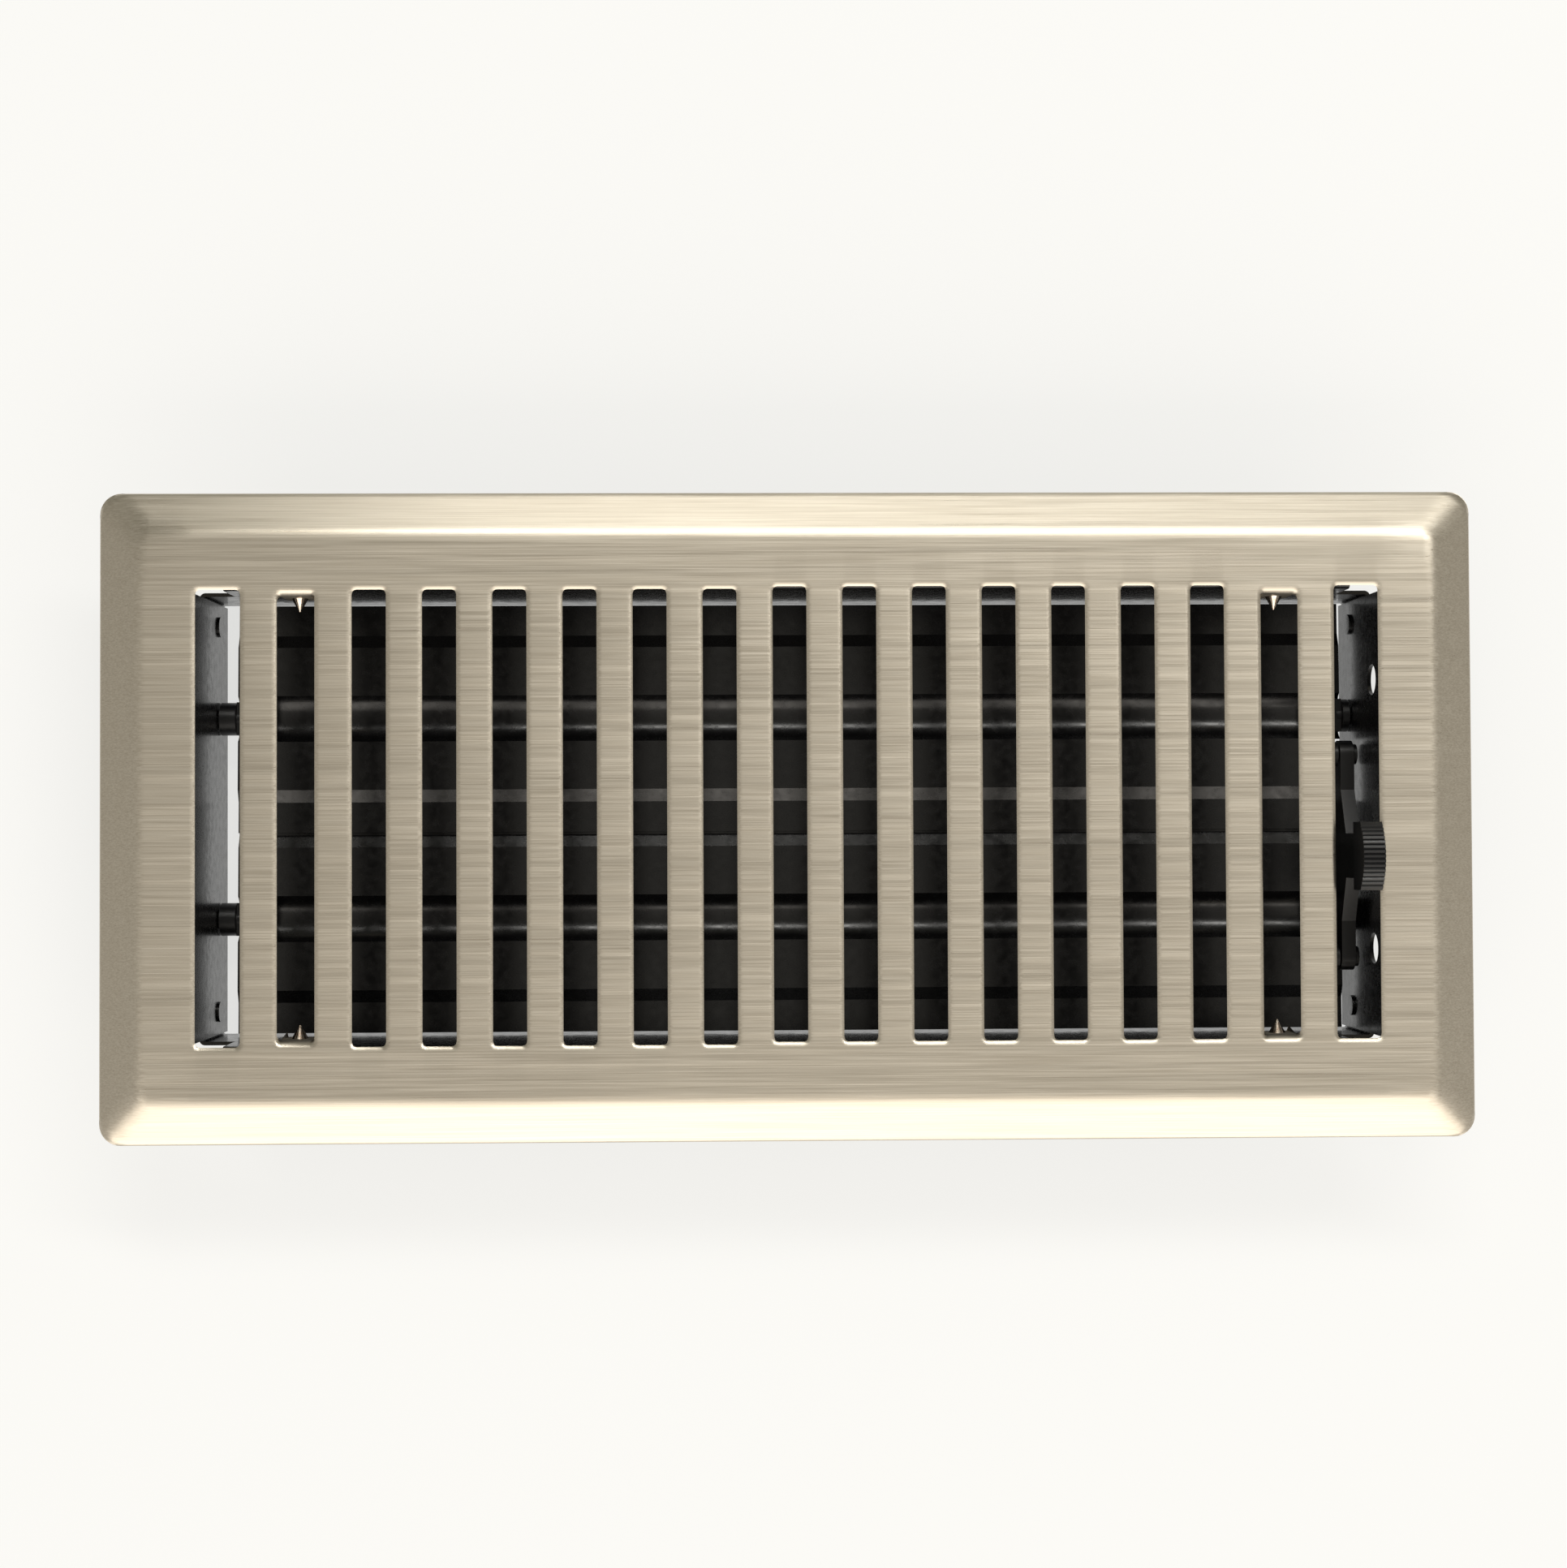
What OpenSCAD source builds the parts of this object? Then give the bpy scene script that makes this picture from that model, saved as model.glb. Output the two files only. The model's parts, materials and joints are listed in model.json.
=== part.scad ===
// Floor air register: a pressed and brushed faceplate with a row of slots,
// over a black sheet steel damper box with two coupled louvre blades.
// Millimetres. X runs along the faceplate, +Z is the face, Z = 0 is the deep
// edge of the damper box, and X = Y = 0 is the middle of the faceplate.

/* [Faceplate] */
// Length of the faceplate over its rim
plate_l = 289; // [286:0.5:300]
// Width of the faceplate over its rim
plate_w = 136.5; // [134:0.5:144]
// Sheet thickness of the faceplate
plate_t = 1.2; // [1:0.05:1.3]
// Corner radius of the faceplate's outline
plate_corner_r = 4.5; // [3:0.5:8]
// Height of the face above the floor that the rim lies on
face_rise = 4.7; // [4.2:0.1:5.5]
// Width of the sloping skirt, from the rim to the bend
skirt_run = 9; // [8:0.5:10]
// Outside radius of the bend between skirt and face
bend_r = 7; // [5:0.5:8]
// Height of the cut edge at the rim
rim_edge_h = 0.8; // [0.6:0.05:0.9]

/* [Slots] */
// Number of plain slots, which share the length between the two lug slots
plain_slots = 13; // [11:1:14]
// Width of a plain slot
slot_w = 7.1; // [6:0.1:8]
// Distance from the faceplate's long edge to the ends of the slots
slot_margin = 20.65; // [20:0.05:22]
// Corner radius of a slot
slot_corner_r = 1; // [0.6:0.1:1.6]
// Distance from the last plain slot to the slot that carries the lugs
lug_slot_step = 15.2; // [14.4:0.1:16]
// Width of the slot that carries the lugs
lug_slot_w = 7.8; // [7:0.1:8.2]
// Distance from the lug slot to the end slot
end_slot_step = 16.2; // [15.6:0.1:17]
// Distance from the middle of the end slot to the inside of the end wall
end_slot_inset = 5.12; // [4.9:0.02:5.6]
// Width of the end slot
end_slot_w = 9.3; // [8.8:0.1:9.6]
// How far the second stroke of the punch sits above the first
strike_shift = 0.5; // [0:0.1:0.7]
// Radius of the rolled edge round a slot
roll_r = 2; // [1.5:0.1:2.4]
// Depth of the rolled edge round a slot
roll_depth = 0.4; // [0.2:0.05:0.5]

/* [Lugs and screws] */
// How far a lug's inner face stands inside the ends of the plain slots
lug_inset = 1.4; // [1:0.1:2]
// Length of a lug below the face
lug_drop = 9.5; // [8.5:0.1:10.5]
// Inside radius of a lug's fold
lug_fold_r = 0.8; // [0.7:0.1:0.9]
// Depth of the screws below the face
screw_depth = 5.6; // [5.3:0.1:6]
// Diameter of a screw over its thread
screw_d = 3.5; // [3:0.1:3.9]
// Diameter of a screw's head
screw_head_d = 6.2; // [5.8:0.1:6.4]
// Height of a screw's head
screw_head_h = 2; // [1.6:0.1:2.2]
// How far a screw's point stands out of the lug
screw_tip = 2.8; // [2:0.1:3.4]

/* [Damper box] */
// Distance from the faceplate's short edge to the inside of the end wall
box_margin = 20.2; // [19.4:0.1:22]
// Depth of the damper box below the rim
box_depth = 30; // [28:0.5:40]
// Sheet thickness of the damper box
box_t = 0.8; // [0.6:0.05:0.85]
// Width of the flange under the face
flange_w = 5.5; // [4:0.5:6]
// Length of the notch at each upper corner of a side wall
notch_l = 6; // [4:0.5:8]
// Depth of that notch below the face
notch_depth = 14; // [10:0.5:16]
// Width of the tab that laps round onto an end wall
tab_w = 10; // [8:0.5:14]
// Diameter of the holes near the top of the right end wall
wall_hole_d = 6.6; // [5:0.1:7]
// Distance between those holes
wall_hole_span = 57.2; // [50:0.1:64]
// Depth of those holes below the rim
wall_hole_depth = 2.8; // [2.4:0.1:4]
// Diameter of a corner rivet
rivet_d = 3; // [2.4:0.1:4]
// Height of the corner rivets above the deep edge
rivet_z = 9; // [7:0.5:12]

/* [Blades] */
// Gap between a closed blade and the side wall
blade_gap_side = 0.55; // [0.5:0.05:1]
// Width over which the two closed blades lap
blade_lap = 6.1; // [5:0.1:7]
// Depth of the pivots below the rim
pivot_depth = 23; // [22.6:0.1:24]
// Sheet thickness of a blade
blade_t = 0.6; // [0.4:0.05:0.7]
// Gap between a blade's left end and the wall
blade_gap_left = 3.8; // [2.5:0.1:5]
// Gap between a blade's right end and the wall
blade_gap_right = 1.8; // [1.4:0.1:2]
// Tilt of a closed blade, which lets one edge lap over the other
blade_lap_tilt = 1.5; // [1.3:0.1:2]
// How far a blade turns from closed to open
blade_swing = 88; // [70:1:88]
// Width of the trough along the middle of a blade
trough_w = 10.4; // [9:0.1:11]
// Depth of that trough
trough_depth = 2.6; // [2:0.1:2.8]
// Width of the flat strip along each edge of a blade
blade_strip_w = 6.65; // [6.2:0.05:9]
// Height of the step down to a blade's edge strips
blade_step_h = 1.2; // [0.6:0.1:1.6]
// Width of each sloping step
blade_step_w = 2.7; // [2:0.1:4]

/* [Pivots and thumb link] */
// Diameter of a pivot's journal
journal_d = 4; // [3:0.1:4.4]
// Radial clearance of a journal in its wall
journal_play = 0.06; // [0.02:0.01:0.1]
// Diameter of the hub between a blade and its wall
hub_d = 7.2; // [6.4:0.1:7.6]
// Length of the shoe that sits in a blade's trough
shoe_l = 8; // [6:0.5:12]
// Diameter of the stud that holds a shoe
stud_d = 2.4; // [2:0.1:3]
// Length of a crank, from pivot to crank pin
crank_r = 12.6; // [12.2:0.1:13]
// Diameter of a crank pin
crank_pin_d = 3; // [2.4:0.1:3.4]
// Radial clearance of the back crank pin in the link
link_play = 0.08; // [0.04:0.01:0.1]
// Thickness of a crank arm
arm_t = 2; // [1.6:0.1:2.4]
// Thickness of the link bar
link_t = 3; // [2.4:0.1:3.2]
// Height of the link bar
link_h = 6; // [5:0.1:6.4]
// Gap between the thumb piece and the end of its slot's width
thumb_gap = 0.4; // [0.3:0.05:0.6]
// Thickness of the thumb piece
thumb_t = 4.6; // [4:0.1:5]
// Length of the thumb piece along its slot
thumb_l = 14.3; // [12:0.1:18]
// Height of the thumb piece's shoulders above the face
thumb_shoulder = 2.7; // [2:0.1:4]
// Height of the thumb piece's crown above its shoulders
thumb_crown = 3.2; // [2.6:0.1:3.6]
// Distance between the ribs on the thumb piece
rib_pitch = 1.03; // [0.8:0.01:1.4]
// Depth of the grooves between those ribs
rib_depth = 0.35; // [0.2:0.05:0.4]

/* [Hidden] */
$fn = 64;

// Clearance between parts that are fastened together
seat_gap = 0.05;
// Clearance between parts that pass each other
run_gap = 0.3;
// How far a cutter runs past what it cuts
over = 1;

rim_z = box_depth;
face_z = rim_z + face_rise;
under_z = face_z - plate_t;
pivot_z = rim_z - pivot_depth;

skirt_slope = atan((face_rise - rim_edge_h) / skirt_run);
rim_land = (plate_t / cos(skirt_slope) - rim_edge_h) / tan(skirt_slope);

wall_in_x = plate_l / 2 - box_margin;
wall_out_x = wall_in_x + box_t;
end_slot_x = wall_in_x - end_slot_inset;
lug_slot_x = end_slot_x - end_slot_step;
last_plain_x = lug_slot_x - lug_slot_step;
slot_pitch = 2 * last_plain_x / (plain_slots - 1);
slot_l = plate_w - 2 * slot_margin;
lug_in = slot_l / 2 - lug_inset;
fold_out = lug_fold_r + plate_t;
lug_root = lug_in + fold_out;
screw_z = face_z - screw_depth;

wall_in_y = lug_in + plate_t + 2 * seat_gap;
wall_out_y = wall_in_y + box_t;
wall_top = under_z - seat_gap;
flange_r = 0.5;
tab_in_x = wall_out_x + seat_gap;
tab_out_x = tab_in_x + box_t;

pivot_y = (wall_in_y - blade_gap_side - blade_lap / 2) / 2;
pivot_pitch = 2 * pivot_y;
blade_w = pivot_pitch + blade_lap;
blade_left = -wall_in_x + blade_gap_left;
blade_right = wall_in_x - blade_gap_right;
trough_r = (pow(trough_w / 2, 2) + pow(trough_depth, 2)) / (2 * trough_depth);
shoe_r = trough_r - seat_gap - blade_t / 2;
journal_end = wall_out_x + 1.2;
stud_head_d = stud_d + 2;
stud_head_h = 0.9;
rivet_head_d = rivet_d + 2.4;
rivet_head_h = 0.9;
rivet_tail_d = rivet_d + 1.4;
rivet_tail_h = 0.45;
screw_point_d = 0.4;
roll_reach = sqrt(pow(roll_r, 2) - pow(roll_r - roll_depth, 2));

thumb_right = end_slot_x + end_slot_w / 2 - thumb_gap;
thumb_x = thumb_right - thumb_t / 2;
link_left = thumb_x - link_t / 2;
link_right = thumb_x + link_t / 2;
arm_face = link_left - run_gap;
pin_shoulder_h = 0.6;
arm_front = arm_face - pin_shoulder_h;
arm_back = arm_front - arm_t;
arm_root_w = 2 * (trough_depth - blade_t);
arm_tip_w = crank_pin_d + 2.4;
pin_dy = -crank_r * cos(45);
pin_dz = crank_r * sin(45);
pin_head_d = crank_pin_d + 1.4;
pin_head_h = 0.7;
front_pin_play = 0.2;
thumb_y = pin_dy;
thumb_foot_z = under_z - 1.4;
stem_half = thumb_l / 3;
stem_foot_h = 4;
groove_half = 0.36 * rib_pitch;
crown_r = (pow(thumb_l / 2, 2) + pow(thumb_crown, 2)) / (2 * thumb_crown);

metal = "#b9b1a3";
black = "#1a1a1c";
dark_plastic = "#202022";
zinc = "#a9a59c";

// Section of the pressed pan over a span, moved inwards by a depth d.
// It is the region under the sheet's surface, cut off at the rim's height.
module pan_section(span, d) {
    edge_drop = d / cos(skirt_slope);
    top = face_rise - d;
    half = span / 2;
    slope_at_top = half - (top - rim_edge_h + edge_drop) / tan(skirt_slope);
    centre_u = half - skirt_run - bend_r * tan(skirt_slope / 2);
    centre_v = face_rise - bend_r;
    r = bend_r - d;
    tangent_u = centre_u + r * sin(skirt_slope);
    tangent_v = centre_v + r * cos(skirt_slope);
    rim_v = rim_edge_h - edge_drop;
    intersection() {
        translate([-half, 0]) square([span, face_rise + over]);
        union() {
            polygon([
                [-half, min(rim_v, 0) - over], [half, min(rim_v, 0) - over],
                [half, rim_v], [tangent_u, tangent_v], [centre_u, top],
                [-centre_u, top], [-tangent_u, tangent_v], [-half, rim_v]
            ]);
            for (s = [-1, 1]) translate([s * centre_u, centre_v]) circle(r = r, $fn = 180);
        }
    }
}

module rounded_rect(l, w, r) {
    translate([-l / 2 + r, -w / 2]) square([l - 2 * r, w]);
    translate([-l / 2, -w / 2 + r]) square([l, w - 2 * r]);
    for (x = [-1, 1], y = [-1, 1])
        translate([x * (l / 2 - r), y * (w / 2 - r)]) circle(r = r);
}

// The pan's form down to a depth d under its outer surface
module pan_body(d) {
    inset = d > 0 ? rim_land : 0;
    intersection() {
        translate([-plate_l / 2, 0, rim_z]) rotate([90, 0, 90])
            linear_extrude(plate_l) pan_section(plate_w, d);
        translate([0, plate_w / 2, rim_z]) rotate([90, 0, 0])
            linear_extrude(plate_w) pan_section(plate_l, d);
        translate([0, 0, rim_z - over]) linear_extrude(face_rise + 3 * over)
            rounded_rect(plate_l - 2 * inset, plate_w - 2 * inset, plate_corner_r - inset);
    }
}

// Region above the rolled edges of a slot of width w, seen across the slot
module roll_section(w) {
    difference() {
        translate([-w / 2 - roll_reach, -roll_depth]) square([w + 2 * roll_reach, roll_depth + over]);
        for (s = [-1, 1])
            translate([s * (w / 2 + roll_reach), -roll_r]) circle(r = roll_r, $fn = 90);
    }
}

module slot_cutter(w, l) {
    translate([0, 0, under_z - over]) linear_extrude(plate_t + 2 * over)
        rounded_rect(w, l, slot_corner_r);
    intersection() {
        translate([0, l / 2 + roll_reach, face_z]) rotate([90, 0, 0])
            linear_extrude(l + 2 * roll_reach) roll_section(w);
        translate([-w / 2 - roll_reach, 0, face_z]) rotate([90, 0, 90])
            linear_extrude(w + 2 * roll_reach) roll_section(l);
    }
}

// Every slot, left to right; the second stroke of the punch sits a little higher
module slots() {
    half = (plain_slots - 1) / 2;
    for (k = [-half:half])
        translate([k * slot_pitch, k >= 0 ? strike_shift : 0, 0]) slot_cutter(slot_w, slot_l);
    for (s = [-1, 1]) {
        translate([s * lug_slot_x, 0, 0]) slot_cutter(lug_slot_w, 2 * lug_root);
        translate([s * end_slot_x, s > 0 ? strike_shift : 0, 0]) slot_cutter(end_slot_w, slot_l);
    }
}

// One lug, folded down from the end of its slot towards +Y
module lug() {
    drop_z = face_z - lug_drop;
    difference() {
        translate([-lug_slot_w / 2 + seat_gap, 0, 0]) rotate([90, 0, 90])
            linear_extrude(lug_slot_w - 2 * seat_gap) {
                translate([lug_root, under_z]) square([roll_r, plate_t]);
                translate([lug_in, drop_z]) square([plate_t, face_z - fold_out - drop_z]);
                intersection() {
                    translate([lug_root, face_z - fold_out]) difference() {
                        circle(r = fold_out);
                        circle(r = lug_fold_r);
                    }
                    translate([lug_in, face_z - fold_out]) square(fold_out);
                }
            }
        translate([0, lug_in - over, screw_z]) rotate([-90, 0, 0])
            cylinder(d = screw_d + 2 * seat_gap, h = plate_t + 2 * over);
    }
}

module faceplate() {
    color(metal) {
        difference() {
            pan_body(0);
            pan_body(plate_t);
            slots();
        }
        for (s = [-1, 1], m = [0, 1])
            translate([s * lug_slot_x, 0, 0]) mirror([0, m, 0]) lug();
    }
}

// Side wall at +Y: web, outward flange under the face, and a tab at each end
module side_wall() {
    web_top = wall_top - box_t - flange_r;
    bend_out = box_t + flange_r;
    flange_half = wall_in_x - notch_l;
    tab_top = face_z - notch_depth;
    color(black) difference() {
        union() {
            translate([-flange_half, 0, 0]) rotate([90, 0, 90])
                linear_extrude(2 * flange_half) {
                    translate([wall_in_y, 0]) square([box_t, web_top]);
                    translate([wall_in_y + bend_out, wall_top - box_t])
                        square([flange_w - bend_out, box_t]);
                    intersection() {
                        translate([wall_in_y + bend_out, web_top]) difference() {
                            circle(r = bend_out);
                            circle(r = flange_r);
                        }
                        translate([wall_in_y, web_top]) square(bend_out);
                    }
                }
            linear_extrude(tab_top) {
                for (m = [0, 1]) mirror([m, 0]) {
                    translate([flange_half - over, wall_in_y])
                        square([tab_in_x - flange_r - flange_half + over, box_t]);
                    translate([tab_in_x, wall_out_y - box_t - flange_r - tab_w])
                        square([box_t, tab_w]);
                    intersection() {
                        translate([tab_in_x - flange_r, wall_in_y - flange_r]) difference() {
                            circle(r = bend_out);
                            circle(r = flange_r);
                        }
                        translate([tab_in_x - flange_r, wall_in_y - flange_r]) square(bend_out);
                    }
                }
            }
        }
        for (s = [-1, 1]) {
            translate([s * lug_slot_x, wall_in_y - over, screw_z]) rotate([-90, 0, 0])
                cylinder(d = screw_d + 2 * seat_gap, h = box_t + 2 * over);
            rivet_hole(s);
        }
    }
}

module rivet_hole(s) {
    translate([s * (wall_in_x - over), rivet_y(), rivet_z]) rotate([0, s * 90, 0])
        cylinder(d = rivet_d + 2 * seat_gap, h = 2 * box_t + 3 * over);
}

function rivet_y() = wall_in_y - flange_r - tab_w / 2;

// End wall at +X: web and outward flange under the face
module end_wall(holes) {
    bend_out = box_t + flange_r;
    web_top = wall_top - box_t - flange_r;
    web_half = wall_in_y - seat_gap - flange_r;
    flange_half = wall_in_y - tab_w;
    color(black) difference() {
        union() {
            translate([wall_in_x, -web_half, 0]) cube([box_t, 2 * web_half, web_top]);
            translate([0, flange_half, 0]) rotate([90, 0, 0])
                linear_extrude(2 * flange_half) {
                    translate([wall_in_x + bend_out, wall_top - box_t])
                        square([flange_w - bend_out, box_t]);
                    intersection() {
                        translate([wall_in_x + bend_out, web_top]) difference() {
                            circle(r = bend_out);
                            circle(r = flange_r);
                        }
                        translate([wall_in_x, web_top]) square(bend_out);
                    }
                }
        }
        for (s = [-1, 1]) {
            translate([wall_in_x - over, s * pivot_y, pivot_z]) rotate([0, 90, 0])
                cylinder(r = journal_d / 2 + journal_play, h = box_t + 2 * over);
            mirror([0, s > 0 ? 0 : 1, 0]) rivet_hole(1);
            if (holes)
                translate([wall_in_x - over, s * wall_hole_span / 2, rim_z - wall_hole_depth])
                    rotate([0, 90, 0]) cylinder(d = wall_hole_d, h = box_t + 2 * over);
        }
    }
}

// Section of a formed blade: trough, raised middle, and a lower strip at each edge
module blade_section() {
    half = blade_w / 2;
    foot = half - blade_strip_w;
    raised = foot - blade_step_w;
    t = blade_t / 2;
    rise = trough_r - trough_depth;
    low = -blade_step_h;
    difference() {
        union() {
            polygon([
                [-half, low - t], [-foot, low - t], [-raised, -t],
                [raised, -t], [foot, low - t], [half, low - t],
                [half, low + t], [foot, low + t], [raised, t],
                [-raised, t], [-foot, low + t], [-half, low + t]
            ]);
            intersection() {
                translate([0, rise]) circle(r = trough_r + t, $fn = 120);
                translate([-trough_r, -trough_depth - blade_t])
                    square([2 * trough_r, trough_depth + blade_t]);
            }
        }
        translate([0, rise]) circle(r = trough_r - t, $fn = 120);
    }
}

// Puts its children on the closed blade at side s: 1 is the back one, -1 the front one
module on_blade(s) {
    translate([0, s * pivot_y, pivot_z]) rotate([-blade_lap_tilt, 0, 0]) children();
}

module blade(s, notched) {
    length = blade_right - blade_left;
    notch_x = arm_front + run_gap;
    color(black) on_blade(s) difference() {
        translate([blade_left, 0, 0]) rotate([90, 0, 90]) linear_extrude(length) blade_section();
        for (x = [blade_left + shoe_l / 2, blade_right - shoe_l / 2])
            translate([x, 0, -trough_depth - blade_t - over])
                cylinder(d = stud_d + 2 * seat_gap, h = 3 * over);
        if (notched)
            translate([notch_x, -blade_w / 2 - over, -trough_depth])
                cube([blade_right - notch_x + over, blade_w / 2 - trough_w / 2 + over, 2 * trough_depth]);
    }
}

// Shoe in the trough with its stud, from x to x + shoe_l
module shoe(x) {
    rise = trough_r - trough_depth;
    translate([x, 0, 0]) rotate([90, 0, 90]) linear_extrude(shoe_l) intersection() {
        translate([0, rise]) circle(r = shoe_r, $fn = 120);
        translate([-hub_d / 2, -trough_depth]) square([hub_d, trough_depth + hub_d / 4]);
    }
    translate([x + shoe_l / 2, 0, -trough_depth - blade_t / 2 - seat_gap - stud_head_h]) {
        cylinder(d = stud_head_d, h = stud_head_h);
        cylinder(d = stud_d, h = trough_depth + stud_head_h);
    }
}

// Hub and journal along +X, from a blade's end at x0 through the wall
module hub(x0) {
    translate([x0, 0, 0]) rotate([0, 90, 0]) {
        translate([0, 0, seat_gap]) cylinder(d = hub_d, h = wall_in_x - x0 - run_gap - seat_gap);
        translate([0, 0, -over]) cylinder(d = journal_d, h = journal_end - x0 + over);
    }
}

module left_pivot(s) {
    color(dark_plastic) on_blade(s) {
        shoe(blade_left);
        mirror([1, 0, 0]) hub(-blade_left);
    }
}

module crank(s) {
    color(dark_plastic) {
        on_blade(s) {
            shoe(blade_right - shoe_l);
            hub(blade_right);
        }
        translate([0, s * pivot_y, pivot_z]) {
            rotate([90, 0, 90]) {
                translate([0, 0, arm_back]) linear_extrude(arm_t) crank_outline();
                translate([pin_dy, pin_dz, arm_back]) {
                    cylinder(d = arm_tip_w, h = arm_face - arm_back);
                    cylinder(d = crank_pin_d, h = link_right + seat_gap + pin_head_h - arm_back);
                    translate([0, 0, link_right + run_gap - arm_back])
                        cylinder(d = pin_head_d, h = pin_head_h);
                }
            }
        }
    }
}

// Outline of a crank arm, from the shoe up to the crank pin
module crank_outline() {
    rotate(135) polygon([
        [0, -arm_root_w / 2], [crank_r, -arm_tip_w / 2],
        [crank_r, arm_tip_w / 2], [0, arm_root_w / 2]
    ]);
    circle(d = arm_root_w);
    translate([pin_dy, pin_dz]) circle(d = arm_tip_w);
}

// Link bar with the ribbed thumb piece standing on it
module thumb_link() {
    bar_z = pivot_z + pin_dz;
    shoulder_z = face_z + thumb_shoulder;
    stem_z = link_h / 2 + stem_foot_h;
    color(dark_plastic) difference() {
        union() {
            translate([link_left, thumb_y, bar_z]) rotate([90, 0, 90]) linear_extrude(link_t) {
                square([pivot_pitch, link_h], center = true);
                for (s = [-1, 1]) translate([s * pivot_y, 0]) circle(d = link_h);
                polygon([
                    [-thumb_l, link_h / 2 - seat_gap], [thumb_l, link_h / 2 - seat_gap],
                    [stem_half, stem_z], [stem_half, thumb_foot_z - bar_z + over],
                    [-stem_half, thumb_foot_z - bar_z + over], [-stem_half, stem_z]
                ]);
            }
            translate([thumb_right - thumb_t, thumb_y, 0]) rotate([90, 0, 90]) linear_extrude(thumb_t) {
                translate([-thumb_l / 2, thumb_foot_z]) square([thumb_l, shoulder_z - thumb_foot_z]);
                intersection() {
                    translate([0, shoulder_z + thumb_crown - crown_r]) circle(r = crown_r, $fn = 180);
                    translate([-thumb_l / 2, shoulder_z - over]) square([thumb_l, thumb_crown + 2 * over]);
                }
            }
        }
        crown_grooves(shoulder_z + thumb_crown - crown_r);
        for (s = [-1, 1])
            translate([link_left - over, thumb_y + s * pivot_y, bar_z]) rotate([0, 90, 0])
                cylinder(r = crank_pin_d / 2 + (s > 0 ? link_play : front_pin_play), h = link_t + 2 * over);
    }
}

// Grooves across the crown, a rib pitch apart round its arc
module crown_grooves(centre_z) {
    step = rib_pitch / crown_r * 180 / PI;
    count = floor(asin(thumb_l / 2 / crown_r) / step);
    for (k = [-count:count - 1])
        translate([thumb_right - thumb_t - over, thumb_y, centre_z])
            rotate([-(k + 0.5) * step, 0, 0]) translate([0, 0, crown_r])
                rotate([90, 0, 90]) linear_extrude(thumb_t + 2 * over)
                    polygon([[-groove_half, seat_gap], [0, -rib_depth], [groove_half, seat_gap]]);
}

// Screw through a side wall and a lug, on side sy, at the lug slot on side sx
module screw(sx, sy) {
    shank_l = wall_out_y + seat_gap - lug_in;
    dome_r = (pow(screw_head_d / 2, 2) + pow(screw_head_h, 2)) / (2 * screw_head_h);
    head_y = sy * (wall_out_y + seat_gap);
    color(zinc) translate([sx * lug_slot_x, head_y, screw_z]) rotate([sy * -90, 0, 0]) {
        intersection() {
            cylinder(d = screw_head_d, h = screw_head_h);
            translate([0, 0, screw_head_h - dome_r]) sphere(r = dome_r);
        }
        translate([0, 0, -shank_l]) cylinder(d = screw_d, h = shank_l);
        translate([0, 0, -shank_l - screw_tip])
            cylinder(d1 = screw_point_d, d2 = screw_d, h = screw_tip);
    }
}

// Corner rivet through a tab and an end wall, heads on both sides
module rivet(sx, sy) {
    grip = tab_out_x - wall_in_x + 2 * seat_gap;
    inner_x = wall_in_x - seat_gap;
    color(black) translate([sx * inner_x, sy * rivet_y(), rivet_z]) rotate([0, sx * 90, 0]) {
        cylinder(d = rivet_d, h = grip);
        translate([0, 0, grip]) cylinder(d1 = rivet_head_d, d2 = rivet_tail_d, h = rivet_head_h);
        translate([0, 0, -rivet_tail_h]) cylinder(d = rivet_tail_d, h = rivet_tail_h);
    }
}

faceplate();
side_wall();  // back_side_wall
mirror([0, 1, 0]) side_wall();  // front_side_wall
mirror([1, 0, 0]) end_wall(false);  // left_end_wall
end_wall(true);  // right_end_wall
blade(1, true);  // back_blade
blade(-1, false);  // front_blade
left_pivot(1);  // back_left_pivot
left_pivot(-1);  // front_left_pivot
crank(1);  // back_crank
crank(-1);  // front_crank
thumb_link();
screw(-1, 1);  // back_left_screw
screw(1, 1);  // back_right_screw
screw(-1, -1);  // front_left_screw
screw(1, -1);  // front_right_screw
rivet(-1, 1);  // back_left_rivet
rivet(1, 1);  // back_right_rivet
rivet(-1, -1);  // front_left_rivet
rivet(1, -1);  // front_right_rivet
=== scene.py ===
# %% [markdown]
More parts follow.
